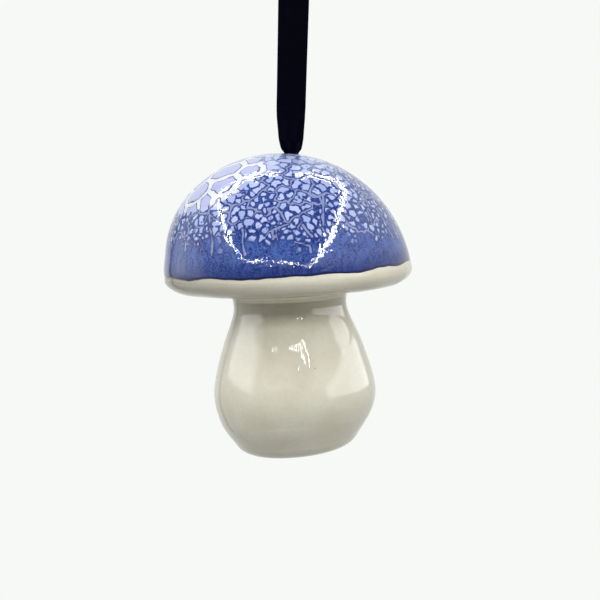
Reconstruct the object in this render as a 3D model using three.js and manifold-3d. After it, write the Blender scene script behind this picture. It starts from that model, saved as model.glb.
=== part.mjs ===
// A glazed ceramic mushroom bauble that hangs on a doubled satin ribbon.
// Millimetres, +Z up, front towards -Y. The origin is the inside top of the ribbon loop, where a hook holds it.
import * as THREE from "three";
import { mergeVertices } from "three/addons/utils/BufferGeometryUtils.js";
import Module from "manifold-3d";

const wasm = await Module();
wasm.setup();

// Fits
const GAP = 0.3; // between pieces that touch
const TURN_STEPS = 40; // facets around every turned piece

// Cap, measured from its widest line
const CAP_RADIUS = 25.6;
const CAP_HEIGHT = 24.4;
const CAP_WALL = 3.0;
const CAP_SKEW = 0.075; // sideways drift of the hand-shaped dome per millimetre of height
const RIM_DROP = 3.75; // white rim below the widest line
const RIM_ROUND = 5; // how far the rounded rim turns in
const RIM_BULGE = 0.4; // how far the rim stands out below the glaze
const RIM_MIDDLE = -0.55; // height of the rim's fullest ring
const UNDERSIDE_DROP = 0.35; // the underside bulges down towards the stem
const FLOOR_WALL = 3.0;

// Blue glaze coat
const GLAZE_THICKNESS = 0.5;
const GLAZE_LINE = 0.5; // lower edge of the coat above the widest line

// Ribbon hole in the crown
const HOLE_RADIUS = 1.8;
const HOLE_OFFSET = 1.7; // to the right of the stem's axis
const LEAN = THREE.MathUtils.degToRad(3.6); // the off-centre hole makes the bauble hang askew

// Slip joint between cap and stem
const SLIP_THICKNESS = 0.5;
const SLIP_BEAD = 0.4; // how far the bead stands out of the neck

// Stem: outer radii, and depths below the top of the stem
const STEM_WALL = 3.0;
const NECK_RADIUS = 11.9;
const NECK_DEPTH = 3.6;
const SHOULDER_RADIUS = 14.85;
const SHOULDER_DEPTH = 10.8;
const BULB_RADIUS = 17.05;
const BULB_DEPTH = 19.4;
const BELLY_RADIUS = 16.15;
const BELLY_DEPTH = 25.4;
const HEEL_RADIUS = 13.15;
const HEEL_DEPTH = 30.3;
const STEM_LENGTH = 33.05;
const FOOT_RADIUS = 7.6;
const FOOT_OPENING = 5.5; // wide enough for the knot to be pushed through
const FOOT_WALL = 3.0;
const FOOT_SLOPE = 0.05; // the foot is cut a little askew
const SLOPE_START = 20; // depth below the stem's top where the slope sets in
const SLOPE_REACH = 9; // it is full this much lower

// Ribbon
const RIBBON_WIDTH = 6;
const RIBBON_THICKNESS = 0.4;
const GATHER_WIDTH = 5.5;
const GATHER_THICKNESS = 1.6;
const GATHER_WAIST = 3.8; // width where the gather starts to run into the hole
const GATHER_TOP = 6.15; // front and back swing axis, above the mouth of the hole
const PINCH_HEIGHT = 1.1; // side swing axis, above the mouth of the hole
const PINCH_RADIUS = 0.5;
const PINCH_TAPER = 0.6; // height of the cones above and below the pinch
const SHANK_CLEARANCE = 0.4; // around the shank in the hole
const KNOT_WIDTH = 7.4;
const KNOT_HEIGHT = 5;
const KNOT_TURN = 1.1; // radius of the turn of ribbon around the knot
const KNOT_TILT = THREE.MathUtils.degToRad(20);
const TAIL_LENGTH = 6;
const TAIL_SPREAD = 1.2; // sideways lean of each tail over its length

// Route of the front strand from the gather to the loop's top, as [y, z] below the loop's inside top.
// The back strand mirrors it.
const FRONT_ROUTE = [
  [-0.65, -38.8],
  [-1.5, -37.0],
  [-2.9, -34.0],
  [-4.8, -30.0],
  [-6.9, -25.5],
  [-9.0, -21.0],
  [-10.9, -17.1],
  [-11.9, -13.1],
  [-11.6, -8.9],
  [-9.8, -5.1],
  [-6.9, -2.2],
  [-3.1, -0.4],
];

function material(name, color, roughness) {
  return new THREE.MeshStandardMaterial({ name, color, roughness, metalness: 0 });
}

const whiteClay = () => material("white_clay", 0xdedacb, 0.12);
const blueGlaze = () => material("blue_glaze", 0x5a70b4, 0.08);
const satin = () => material("navy_satin", 0x0b0d20, 0.45);

// Closed mesh to solid and back, for cuts and joins
function solidOf(geometry) {
  const bare = geometry.clone();
  bare.deleteAttribute("normal");
  bare.deleteAttribute("uv");
  const merged = mergeVertices(bare, 1e-4);
  const vertProperties = new Float32Array(merged.attributes.position.array);
  const triVerts = new Uint32Array(merged.index.array);
  return new wasm.Manifold(new wasm.Mesh({ numProp: 3, vertProperties, triVerts }));
}

function geometryOf(solid) {
  const mesh = solid.getMesh();
  const geometry = new THREE.BufferGeometry();
  geometry.setAttribute("position", new THREE.BufferAttribute(new Float32Array(mesh.vertProperties), 3));
  geometry.setIndex(new THREE.BufferAttribute(new Uint32Array(mesh.triVerts), 1));
  geometry.computeVertexNormals();
  return geometry;
}

// Turns a profile of [radius, height] points about +Z. Outer walls run upwards.
function turned(points) {
  const profile = points.map(([radius, height]) => new THREE.Vector2(radius, height));
  return new THREE.LatheGeometry(profile, TURN_STEPS).rotateX(Math.PI / 2);
}

// Points of an ellipse about [centreRadius, centre], from one angle to another
function arc(centreRadius, centre, reach, rise, from, to, steps) {
  const points = [];
  for (let i = 0; i <= steps; i++) {
    const angle = THREE.MathUtils.degToRad(from + ((to - from) * i) / steps);
    points.push([centreRadius + reach * Math.cos(angle), centre + rise * Math.sin(angle)]);
  }
  return points;
}

// Points of an ellipse about the axis, from the given height up to the crown
function dome(radius, height, from, steps) {
  const start = THREE.MathUtils.radToDeg(Math.asin(from / height));
  const points = arc(0, 0, radius, height, start, 90, steps);
  points[steps][0] = 0;
  return points;
}

const reversed = (points) => points.slice().reverse();

// From the loop's inside top down to the mouth of the hole: the strands end just above the gather's round top
const RIBBON_DROP = GATHER_TOP + GATHER_THICKNESS / 2 + GAP - FRONT_ROUTE[0][1];

// Depths that several pieces share, as heights above the cap's widest line
const UNDERSIDE = -RIM_DROP - UNDERSIDE_DROP;
const STEM_TOP = UNDERSIDE - GAP - SLIP_THICKNESS - GAP;
const FOOT = STEM_TOP - STEM_LENGTH;
const SOCKET_RADIUS = NECK_RADIUS - STEM_WALL;

// The dome drifts sideways as it rises, and the foot is cut askew.
function handShape(geometry) {
  const position = geometry.attributes.position;
  for (let i = 0; i < position.count; i++) {
    const x = position.getX(i);
    const z = position.getZ(i);
    const slope = THREE.MathUtils.smoothstep(STEM_TOP - SLOPE_START - z, 0, SLOPE_REACH);
    position.setX(i, x - CAP_SKEW * Math.max(z, 0));
    position.setZ(i, z + FOOT_SLOPE * slope * x);
  }
  return geometry;
}

// Mouth of the ribbon hole on the glaze's outer surface, in the mushroom's own frame
function holeMouth() {
  let height = CAP_HEIGHT;
  for (let i = 0; i < 8; i++) {
    const radius = HOLE_OFFSET + CAP_SKEW * height;
    height = CAP_HEIGHT * Math.sqrt(1 - (radius / CAP_RADIUS) ** 2);
  }
  return new THREE.Vector3(HOLE_OFFSET, 0, height);
}

// The hole is plumb when the bauble hangs.
function holeCutter() {
  const length = 4 * (CAP_WALL + GLAZE_THICKNESS + GAP);
  const mouth = holeMouth();
  return new THREE.CylinderGeometry(HOLE_RADIUS, HOLE_RADIUS, length, 24)
    .rotateX(Math.PI / 2)
    .rotateY(LEAN)
    .translate(mouth.x, mouth.y, mouth.z);
}

function pierced(geometry) {
  return geometryOf(solidOf(geometry).subtract(solidOf(holeCutter())));
}

function capGeometry() {
  const sunk = GLAZE_THICKNESS + GAP; // the clay lies under the glaze by this much
  const ledge = GLAZE_LINE - GAP;
  const floor = UNDERSIDE + FLOOR_WALL;
  const insideRadius = CAP_RADIUS - sunk - CAP_WALL;
  const insideHeight = CAP_HEIGHT - sunk - CAP_WALL;
  const points = [
    ...reversed(dome(insideRadius, insideHeight, floor, 10)),
    [SOCKET_RADIUS, floor],
    [SOCKET_RADIUS, UNDERSIDE],
    [NECK_RADIUS + SLIP_BEAD, UNDERSIDE],
    ...arc(CAP_RADIUS + RIM_BULGE - RIM_ROUND, RIM_MIDDLE, RIM_ROUND, RIM_DROP + RIM_MIDDLE, -90, 0, 6),
    [CAP_RADIUS, ledge],
    ...dome(CAP_RADIUS - sunk, CAP_HEIGHT - sunk, ledge, 12),
  ];
  return pierced(handShape(turned(points)));
}

function glazeGeometry() {
  const inside = dome(CAP_RADIUS - GLAZE_THICKNESS, CAP_HEIGHT - GLAZE_THICKNESS, GLAZE_LINE, 12);
  const outside = dome(CAP_RADIUS, CAP_HEIGHT, GLAZE_LINE, 12);
  return pierced(handShape(turned([...reversed(inside), ...outside])));
}

function slipGeometry() {
  const middle = UNDERSIDE - GAP - SLIP_THICKNESS / 2;
  const half = SLIP_THICKNESS / 2;
  const edge = NECK_RADIUS + SLIP_BEAD - half;
  const inside = SOCKET_RADIUS + GAP;
  return turned([
    [inside, middle + half],
    [inside, middle - half],
    ...arc(edge, middle, half, half, -90, 90, 2),
    [inside, middle + half],
  ]);
}

// Outer profile of the stem from its foot up to its neck, moved in by the given wall
function stemSide(wall, steps) {
  const knots = [
    [HEEL_RADIUS - wall, STEM_TOP - HEEL_DEPTH],
    [BELLY_RADIUS - wall, STEM_TOP - BELLY_DEPTH],
    [BULB_RADIUS - wall, STEM_TOP - BULB_DEPTH],
    [SHOULDER_RADIUS - wall, STEM_TOP - SHOULDER_DEPTH],
    [NECK_RADIUS - wall, STEM_TOP - NECK_DEPTH],
    [NECK_RADIUS - wall, STEM_TOP],
  ];
  const curve = new THREE.SplineCurve(knots.map(([radius, height]) => new THREE.Vector2(radius, height)));
  return curve.getPoints(steps).map((point) => [point.x, point.y]);
}

function stemGeometry() {
  const outside = stemSide(0, 15);
  const inside = stemSide(STEM_WALL, 10).filter(([, height]) => height > FOOT + FOOT_WALL + GAP);
  // The heel runs on along its own slope and rounds into the flat foot.
  const slope = (BELLY_RADIUS - HEEL_RADIUS) / (HEEL_DEPTH - BELLY_DEPTH);
  const foot = new THREE.QuadraticBezierCurve(
    new THREE.Vector2(FOOT_RADIUS, FOOT),
    new THREE.Vector2(HEEL_RADIUS - slope * (STEM_LENGTH - HEEL_DEPTH), FOOT),
    new THREE.Vector2(HEEL_RADIUS, STEM_TOP - HEEL_DEPTH),
  );
  const footRound = foot.getPoints(4).map((point) => [point.x, point.y]);
  const points = [
    ...reversed(inside),
    [FOOT_OPENING, FOOT + FOOT_WALL],
    [FOOT_OPENING, FOOT],
    ...footRound.slice(0, -1),
    ...outside,
    inside[inside.length - 1],
  ];
  return handShape(turned(points));
}

function mushroom() {
  const group = new THREE.Group();
  const pieces = [
    ["cap", capGeometry(), whiteClay()],
    ["cap_glaze", glazeGeometry(), blueGlaze()],
    ["slip_joint", slipGeometry(), whiteClay()],
    ["stem", stemGeometry(), whiteClay()],
  ];
  for (const [name, geometry, finish] of pieces) {
    const mesh = new THREE.Mesh(geometry, finish);
    mesh.name = name;
    group.add(mesh);
  }
  // The mouth of the hole hangs plumb under the loop's top.
  group.rotation.y = -LEAN;
  const mouth = holeMouth().applyEuler(group.rotation);
  group.position.set(-mouth.x, -mouth.y, -RIBBON_DROP - mouth.z);
  return group;
}

// Flat section of the ribbon with eased edges
function ribbonSection() {
  const half = RIBBON_WIDTH / 2;
  const thick = RIBBON_THICKNESS / 2;
  const ease = thick * 0.6;
  const shape = new THREE.Shape();
  shape.moveTo(half, -thick + ease);
  shape.lineTo(half, thick - ease);
  shape.lineTo(half - ease, thick);
  shape.lineTo(-half + ease, thick);
  shape.lineTo(-half, thick - ease);
  shape.lineTo(-half, -thick + ease);
  shape.lineTo(-half + ease, -thick);
  shape.lineTo(half - ease, -thick);
  shape.closePath();
  return shape;
}

function ribbonAlong(points, steps) {
  const extrudePath = new THREE.CatmullRomCurve3(points);
  return new THREE.ExtrudeGeometry(ribbonSection(), { steps, extrudePath, bevelEnabled: false });
}

function loopGeometry() {
  const rise = RIBBON_THICKNESS / 2;
  const front = FRONT_ROUTE.map(([y, z]) => new THREE.Vector3(0, y, z + rise));
  const back = reversed(FRONT_ROUTE).map(([y, z]) => new THREE.Vector3(0, -y, z + rise));
  return ribbonAlong([...front, new THREE.Vector3(0, 0, rise), ...back], 44);
}

// A solid with the given front outline [x, z] and side outline [y, z]
function crossed(front, side, depth) {
  const outline = (points) => new THREE.Shape(points.map(([a, b]) => new THREE.Vector2(a, b)));
  const settings = { depth, bevelEnabled: false };
  const seenFromFront = new THREE.ExtrudeGeometry(outline(front), settings)
    .translate(0, 0, -depth / 2)
    .rotateX(Math.PI / 2);
  const seenFromSide = new THREE.ExtrudeGeometry(outline(side), settings)
    .translate(0, 0, -depth / 2)
    .rotateX(Math.PI / 2)
    .rotateZ(Math.PI / 2);
  return geometryOf(solidOf(seenFromFront).intersect(solidOf(seenFromSide)));
}

// Both strands drawn together: rounded above about the swing axis, running to a pinch below
function gatherGeometry() {
  const half = GATHER_WIDTH / 2;
  const waist = GATHER_WAIST / 2;
  const thick = GATHER_THICKNESS / 2;
  const tip = PINCH_HEIGHT + GAP;
  const mouth = tip + PINCH_TAPER;
  const sleeve = [
    [PINCH_RADIUS, tip],
    [waist, mouth],
    [half, GATHER_TOP - thick],
    [half, GATHER_TOP + thick],
  ];
  const front = [...sleeve, ...reversed(sleeve).map(([x, z]) => [-x, z])];
  const side = [
    [-PINCH_RADIUS, tip],
    [PINCH_RADIUS, tip],
    [thick, mouth],
    ...arc(0, GATHER_TOP, thick, thick, 0, 180, 8),
    [-thick, mouth],
  ];
  return crossed(front, side, 2 * RIBBON_WIDTH);
}

// Underside of the crown at the hole, below the mouth
const CROWN_THICKNESS = GLAZE_THICKNESS + GAP + CAP_WALL;
const KNOT_TOP = -CROWN_THICKNESS - 2 * GAP;
const KNOT_MIDDLE = KNOT_TOP - KNOT_HEIGHT / 2;

function shankGeometry() {
  const tip = PINCH_HEIGHT - GAP;
  const radius = HOLE_RADIUS - SHANK_CLEARANCE;
  return turned([
    [0, KNOT_TOP + GAP],
    [radius, KNOT_TOP + GAP],
    [radius, tip - PINCH_TAPER],
    [PINCH_RADIUS, tip],
    [0, tip],
  ]);
}

function knotGeometry() {
  const turn = KNOT_WIDTH / 2 - KNOT_TURN;
  const core = new THREE.SphereGeometry(1, 20, 12).rotateX(Math.PI / 2);
  core.scale(turn + KNOT_TURN / 2, turn, KNOT_HEIGHT / 2);
  const wrap = new THREE.TorusGeometry(turn, KNOT_TURN, 8, 24).rotateY(KNOT_TILT);
  return geometryOf(solidOf(core).add(solidOf(wrap))).translate(0, 0, KNOT_MIDDLE);
}

function tailGeometry(side) {
  const top = KNOT_TOP - KNOT_HEIGHT - GAP;
  const points = [0, 0.35, 0.7, 1].map((share) => {
    const y = side * (RIBBON_THICKNESS + TAIL_SPREAD * share * share);
    return new THREE.Vector3(0, y, top - TAIL_LENGTH * share);
  });
  return ribbonAlong(points, 6);
}

function ribbon() {
  const group = new THREE.Group();
  const pieces = [
    ["ribbon_gather", gatherGeometry()],
    ["ribbon_shank", shankGeometry()],
    ["ribbon_knot", knotGeometry()],
    ["ribbon_tail_front", tailGeometry(-1)],
    ["ribbon_tail_back", tailGeometry(1)],
  ];
  for (const [name, geometry] of pieces) {
    const mesh = new THREE.Mesh(geometry, satin());
    mesh.name = name;
    mesh.position.z = -RIBBON_DROP;
    group.add(mesh);
  }
  const loop = new THREE.Mesh(loopGeometry(), satin());
  loop.name = "ribbon_loop";
  group.add(loop);
  return group;
}

const bauble = new THREE.Group();
bauble.name = "mushroom_bauble";
bauble.add(mushroom(), ribbon());

export default bauble;
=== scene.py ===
import math

import bpy
import numpy as np
from mathutils import Matrix, Vector


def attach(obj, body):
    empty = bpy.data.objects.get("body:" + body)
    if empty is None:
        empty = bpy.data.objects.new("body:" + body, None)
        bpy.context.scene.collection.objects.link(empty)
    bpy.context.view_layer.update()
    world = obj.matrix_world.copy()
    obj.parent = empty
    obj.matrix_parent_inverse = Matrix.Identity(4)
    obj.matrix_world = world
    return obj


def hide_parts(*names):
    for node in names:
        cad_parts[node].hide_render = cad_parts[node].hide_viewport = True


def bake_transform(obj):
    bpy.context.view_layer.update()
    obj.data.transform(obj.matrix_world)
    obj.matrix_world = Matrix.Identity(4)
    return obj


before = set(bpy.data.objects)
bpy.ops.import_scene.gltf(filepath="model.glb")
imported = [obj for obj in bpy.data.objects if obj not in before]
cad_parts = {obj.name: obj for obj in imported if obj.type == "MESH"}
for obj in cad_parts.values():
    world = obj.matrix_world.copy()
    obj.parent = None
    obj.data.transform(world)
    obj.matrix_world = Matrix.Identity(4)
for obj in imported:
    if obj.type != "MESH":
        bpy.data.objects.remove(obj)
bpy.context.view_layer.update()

MM = 0.001
FULL_TURN = 2 * math.pi
SEARCH_ROUNDS = 8

# Cap, with heights above its widest line
CAP_RADIUS = 25.6
CAP_HEIGHT = 24.4
CAP_WALL = 3.0
CAP_SKEW = 0.075
CAP_BEND = 0.25
CAP_FLOOR = -1.1
CAP_GRID = {"rows": 30, "columns": 360}
RIM_DROP = 3.75
RIM_ROUND = 5.0
RIM_BULGE = 0.3
RIM_MIDDLE = -0.55
# Reach of the rim in and up behind the glaze, and rows as shares of the way down to its middle
RIM_TUCK = (0.3, 0.5)
RIM_SWELL = [0, 0.15, 0.35, 0.6, 0.85]
RIM_SHIFT = -0.2
UNDERSIDE = -4.1
UNDERSIDE_SLOPE = (15.5, 0.2)
UNDERSIDE_FLAT = 13.0
SOCKET_RADIUS = 8.9
SOCKET_EASE = 0.4
SOCKET_MIDDLE = -2.4

# Glaze coat
COAT_DEPTH = 0.45
COAT_STEP = 0.12
COAT_GAP = 0.3
COAT_FLARE = 0.45
FLARE_REACH = 5.0
CLAY_ABOVE_LIP = 0.6
LIP_ROUND = 0.16
LIP_ANGLES = (20, 40, 60, 80)
LIP_CALM = 1.2
GLAZE_LINE = 0.55
GLAZE_TILT = 0.36

# Ribbon hole and the hang that follows from it
HOLE_RADIUS = 1.8
HOLE_ROUND = 0.5
HOLE_ANGLES = (90, 70, 50, 30, 12)
HOLE_OFFSET = 1.7
LEAN = math.radians(3.6)
RIBBON_DROP = 46.05

# Stem, with [radius, height] knots of its side from heel to neck
STEM_TOP = -5.2
STEM_WALL = 3.0
STEM_KNOTS = [
    (13.15, -35.5), (16.15, -30.6), (17.05, -24.6),
    (14.85, -16.0), (12.05, -8.8), (12.05, -5.2),
]
STEM_ROWS = 70
NECK_SHIFT = 0.12
FOOT = -38.25
FOOT_RADIUS = 7.6
FOOT_OPENING = 5.5
FOOT_WALL = 3.0
FOOT_EASE = 0.4
FOOT_INSIDE_STEP = 0.5
FOOT_SLOPE = 0.05
SLOPE_START = -25.2
SLOPE_REACH = 9.0

# Specks in the stem's clay: azimuth and height
SPECKS = [(16.5, -18.8), (128, -27.0), (214, -14.5), (-75, -31.0)]
SPECK_RADIUS = 0.22

# Slip bead in the corner between cap and stem
BEAD_OUT = 1.7
BEAD_DOWN = 1.6
BEAD_GAP = 0.3
BEAD_LAP = 0.1

# Ribbon
RIBBON_WIDTH = 6.0
RIBBON_THICK = 0.3
STRIP_COLUMNS = 33
SELVEDGE = 0.07
EDGE_THINNING = 0.12
PLEATS = 2.5
PLEAT_SHIFT = 0.7
STRAND_GAP = 0.46
SPLIT_HEIGHT = 2.5
SHEET_END = -1.4
SHEET_ROWS = 24
SHEET_LAP = 0.1
SHANK_END = -4.6
# Sway of the ribbon to the right at heights above the mouth of the hole
SWAY = [(0, 0), (3, -0.12), (8, -0.22), (16, -0.1), (31, 0.12), (40, 0)]
# Half-width of the gathered ribbon at heights above the mouth of the hole
GATHER = [
    (-5.0, 1.3), (-0.6, 1.35), (0.1, 1.5), (0.9, 2.1), (1.7, 2.33), (3.0, 2.58),
    (5.1, 2.74), (7.2, 2.92), (9.5, 3.0), (16.0, 3.0), (31.0, 3.05),
]
# Front strand as [y, z] from the gather up to the loop's top; the back strand mirrors it.
STRAND_FOOT = (-0.55, -41.0)
FRONT_ROUTE = [
    (-0.65, -38.8), (-1.5, -37.0), (-2.9, -34.0), (-4.8, -30.0), (-6.9, -25.5), (-9.0, -21.0),
    (-10.9, -17.1), (-11.9, -13.1), (-11.6, -8.9), (-9.8, -5.1), (-6.9, -2.2), (-3.1, -0.4),
]
ROUTE_RISE = 0.2
# Knot, with the half width and half thickness of the bunched ribbon in it
KNOT_MIDDLE = -6.9
KNOT_WIDTH = 7.4
KNOT_HEIGHT = 5.0
KNOT_INSET = 1.2
KNOT_BUNCH = (1.35, 0.75)
KNOT_CREASES = 5
KNOT_CREASE = 0.10
KNOT_CLOTH = (2, 4)
TREFOIL_REACH = 3
# Tails, with half-widths at shares of their length
TAIL_TOP = -9.7
TAIL_LENGTH = 6.0
TAIL_START = 0.4
TAIL_CURL = 1.2
TAIL_WIDTHS = [(0, 2.0), (0.3, 2.8), (1, 3.0)]

# Crawl pattern in the glaze: spacings of its islands and half-widths of its channels
CELL = 1.62
CELL_SIDES = 1.2
CELL_CROWN = 2.1
CELL_EVENNESS = (0.72, 1.3)
GROUP = 4.2
PLATE = 6.4
CLOSENESS = 0.9
CHANNEL = 0.14
CHANNEL_LEAST = -0.3
CHANNEL_CLOSED = 0.5
PLATE_CHANNEL = 0.58
OUTLINE = 0.15
NEIGHBOURS = 7
FAR_BORDER = 4.0
ISLAND_ROUND = 0.08
CHANNEL_ROUND = 0.06
# Tries and seeds of the random draws
CELL_DRAW = (40000, 11)
GROUP_DRAW = (12000, 12)
TRAIT_SEED = 13
STROKE_SEED = 14
# Islands that are sunk, and islands with a pit
SUNK_CHANCE = 0.05
SUNK_INSET = 0.6
PIT_CHANCE = 0.35
# Inset of the islands from their borders, and what changes it
INSET = 0.21
INSET_CROWN = 0.13
INSET_FADE = 0.3
INSET_SIDES = 0.08
INSET_CHANNEL = 0.25
INSET_PLATE = 1.0
FADE_SOFTNESS = 1.5
# Shares of the dome's radius, to the left or right, between which its sides begin
SIDES_SPAN = (0.45, 0.75)
# Large plates: azimuth and elevation of the middle of their zone, and of each plate
PLATE_ZONE = (-60, 55)
PLATE_SEEDS = [
    (-62, 42), (-37, 49), (-84, 50), (-48, 62), (-20, 60), (-76, 66), (-105, 62), (-22, 70), (-45, 37),
]
# Bare strokes that run down out of the pattern, as azimuths and elevations
STROKES = [
    [(-18, 24), (-18, 18), (-17, 12)],
    [(-5, 23), (-2, 24), (4, 26)],
    [(-2, 24), (-2, 17)],
    [(27, 39), (23, 30), (20, 22)],
    [(11, 25), (14, 19)],
    [(6, 17), (12, 15), (12, 12)],
    [(-39, 32), (-34, 19), (-34, 12)],
]
STROKE = 0.21
STROKE_WANDER = 0.5
BACK_STROKES = 26
# Relief of the glaze
CHANNEL_DEPTH = 0.026
ISLAND_RISE = 0.010
PIT_DEPTH = 0.022

# Unevenness made of seeded waves: strength, wave length and seed
UNEVEN = {
    "plate_zone": (0.06, 0.5, 31),
    "cell_spacing": (0.2, 0.28, 34),
    "borders": (0.13, 2.2, 20),
    "borders_fine": (0.06, 0.9, 24),
    "fade": (0.05, 6, 41),
    "channel_fade": (0.06, 5, 42),
    "channel_width": (0.5, 7, 43),
    "islands": (0.09, 1.1, 44),
    "islands_fine": (0.05, 0.5, 46),
    "strokes": (0.25, 3, 45),
    "coat": (0.022, 9, 51),
    "coat_fine": (0.003, 0.8, 52),
    "lip": (0.13, 11, 61),
    "lip_fine": (0.05, 3, 62),
    "rim": (0.04, 9, 71),
    "stem": (0.03, 14, 81),
}

# Colours as they look on screen, from 0 to 255
COLOURS = {
    "backdrop": (247, 249, 246),
    "ambient": (250, 250, 246),
    "floor": (208, 208, 202),
    "melt_dark": (30, 48, 118),
    "melt_light": (77, 106, 179),
    "melt_drift": (78, 106, 180),
    "melt_crown": (156, 173, 210),
    "melt_streak": (88, 117, 196),
    "island_ring": (40, 52, 124),
    "island_dull": (142, 161, 218),
    "island_pale": (194, 207, 246),
    "plate": (180, 186, 229),
    "pit": (46, 58, 132),
    "channel_edge": (50, 62, 128),
    "channel": (138, 150, 194),
    "plate_channel": (226, 230, 237),
    "glaze_low": (26, 40, 108),
    "glaze_lip": (24, 30, 80),
    "clay_dull": (222, 217, 198),
    "clay_pale": (228, 226, 209),
    "clay_grain": (212, 206, 186),
    "speck": (140, 128, 110),
    "satin_dark": (2, 2, 12),
    "satin_light": (9, 10, 26),
}

# Camera, fitted to the photo's outline
CAMERA_PLACE = (2.25, -280.0, -47.4)
CAMERA_PITCH = 5.96
CAMERA_ROLL = 0.87
FOCAL_PIXELS = 1339.7
PICTURE_PIXELS = 600
SENSOR = 36.0

# Stage: middle of the bauble, in metres
CENTRE = Vector((0, 0, -0.078))
# Power of a lamp for its area and radiance
LAMP_POWER = 4
# Lamps that don't show in the gloss: azimuth, elevation, distance, width and height in metres, radiance
LAMPS = {
    "left_panel": (-84, 28, 0.5, 0.53, 0.44, 1.5),
    "back_panel": (180, 20, 0.7, 0.6, 0.5, 1.3),
    "low_panel": (0, -20, 0.5, 0.5, 0.2, 1.05),
    "right_panel": (78, 24, 0.5, 0.55, 0.40, 1.2),
    "front_key": (4, 28, 0.7, 0.45, 0.13, 6.9),
    "front_high": (0, 47, 0.7, 0.45, 0.40, 1.85),
    "top_panel": (-8, 66, 0.6, 0.5, 0.5, 0.9),
}
# Panels that show in the gloss alone: the same values, and the share over which each edge fades out
GLOSS_PANELS = {
    "left_glow": (-87, 13.5, 0.5, 0.68, 0.25, 2.8, 0.25),
    "left_haze": (-100, 4, 0.53, 0.5, 0.26, 0.65, 0.25),
    "right_glow": (88, 9, 0.5, 1.07, 0.21, 2.9, 0.16),
    "right_top_glow": (111, 26, 0.48, 0.46, 0.14, 2.9, 0.16),
}
# Edge of the opening overhead in the dome's gloss: x, y, width of its lights and how many to the next
OPENING_HEIGHT = 90.0
OPENING_RADIANCE = 0.10
OPENING_EDGE = [
    (-135, 55, 7, 8),
    (-60, 50, 7, 6),
    (-5, 45, 8, 3),
    (20, 55, 8, 7),
    (80, 105, 8, 3),
    (105, 90, 8, 5),
    (120, 30, 9, 8),
    (140, -100, 15, 9),
    (180, -210, 22, 8),
    (225, -340, 24, 9),
    (260, -560, 20, 5),
    (265, -745, 14, 4),
    (130, -740, 12, 7),
    (-140, -500, 10, 5),
    (-345, -550, 13, 4),
    (-390, -430, 24, 6),
    (-350, -265, 26, 9),
    (-210, -105, 15, 8),
    (-160, 15, 8, 4),
]
LIGHT_HEIGHT = 10.0
LIGHT_SHARE = 0.45
LIGHT_RADIANCE = 40.0
# Dark gap beside the backdrop, at a distance in metres
GAP_AZIMUTH = -133
GAP_DISTANCE = 0.5
GAP_WIDTH = 120.0
GAP_HEIGHT = 1000.0
GAP_RADIANCE = 0.25
# Dark side of the room: a wall around the front that fades between two azimuths
ROOM_RADIUS = 900.0
ROOM_SPAN = (30, 140)
ROOM_FLOOR = -410.0
ROOM_EYE = 60.0
ROOM_TOP = 131.0
ROOM_SIDE_RISE = 90
ROOM_RADIANCE = 0.15
# The room's dark sheet also lies flat over the floor from this radius out: painted shade on the floor, shown
# only in reflections
FLOOR_SHADE_RADIUS = 270.0
# Glint on the stem: groups of upright stripes of light, by number, with x, low z and high z of first and last
GLINT_PLANE = -200.0
GLINT_GROUPS = [
    (2, (-138, 22, 40), (-114, 22, 40)),
    (5, (-28, 26, 36), (12, 20, 54)),
    (3, (24, 21, 60), (46, 29, 72)),
    (2, (57, 62, 78), (65, 50, 74)),
    (4, (69, 25, 68), (79, 4, 14)),
    (3, (40, 8, 22), (55, 5, 10)),
    (1, (16, -8, -4), (16, -8, -4)),
]
GLINT_WIDTH = 5.0
GLINT_RADIANCE = 20.0


# Small helpers

def paint(name):
    """A named colour as the linear values that a shader takes."""
    shares = [value / 255 for value in COLOURS[name]]
    linear = [s / 12.92 if s <= 0.04045 else ((s + 0.055) / 1.055) ** 2.4 for s in shares]
    return (*linear, 1.0)


def smooth(value, low, high):
    """Smooth step from 0 to 1 between two bounds."""
    share = np.clip((value - low) / (high - low), 0, 1)
    return share * share * (3 - 2 * share)


def unit_length(vectors):
    return vectors / np.linalg.norm(vectors, axis=-1, keepdims=True)


def turns(count):
    return np.linspace(0, FULL_TURN, count, endpoint=False)


def uneven(points, name, shift=0):
    """Smooth noise at points: waves of about the named length in random directions."""
    strength, length, seed = UNEVEN[name]
    source = np.random.default_rng(seed + shift)
    waves = 24
    directions = unit_length(source.normal(size=(waves, 3)))
    numbers = FULL_TURN / (length * source.uniform(low=0.7, high=1.5, size=waves))
    phases = source.uniform(0, FULL_TURN, waves)
    total = np.zeros(points.shape[:-1])
    for direction, number, phase in zip(directions, numbers, phases):
        total += np.sin(points @ direction * number + phase)
    return strength * (total * math.sqrt(2 / waves))


def direction_of(azimuth, elevation):
    turn = math.radians(azimuth)
    rise = math.radians(elevation)
    return np.array([math.sin(turn) * math.cos(rise), -math.cos(turn) * math.cos(rise), math.sin(rise)])


# Meshes from rows of points

def quads_between(rows, columns, rows_closed, columns_closed):
    """Quads of a grid of points, which may close on itself either way."""
    here = np.arange(rows * columns).reshape(rows, columns)
    below = np.roll(here, -1, axis=0)
    corners = [here, np.roll(here, -1, axis=1), np.roll(below, -1, axis=1), below]
    quads = np.stack(corners, axis=-1)
    return quads[:None if rows_closed else -1, :None if columns_closed else -1].reshape(-1, 4)


def facing_out(points, quads):
    """The quads of a closed piece, turned round if they face in."""
    a, b, c, d = (points[quads[:, k]] for k in range(4))
    volume = (a * np.cross(b, c) + a * np.cross(c, d)).sum()
    return quads if volume >= 0 else quads[:, ::-1]


def new_piece(name, points, quads, material):
    """An object of quads with one material, from points in millimetres."""
    mesh = bpy.data.meshes.new(name)
    mesh.from_pydata((np.array(points) * MM).tolist(), [], quads)
    mesh.materials.append(material)
    piece = bpy.data.objects.new(name, mesh)
    bpy.context.scene.collection.objects.link(piece)
    return piece


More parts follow.
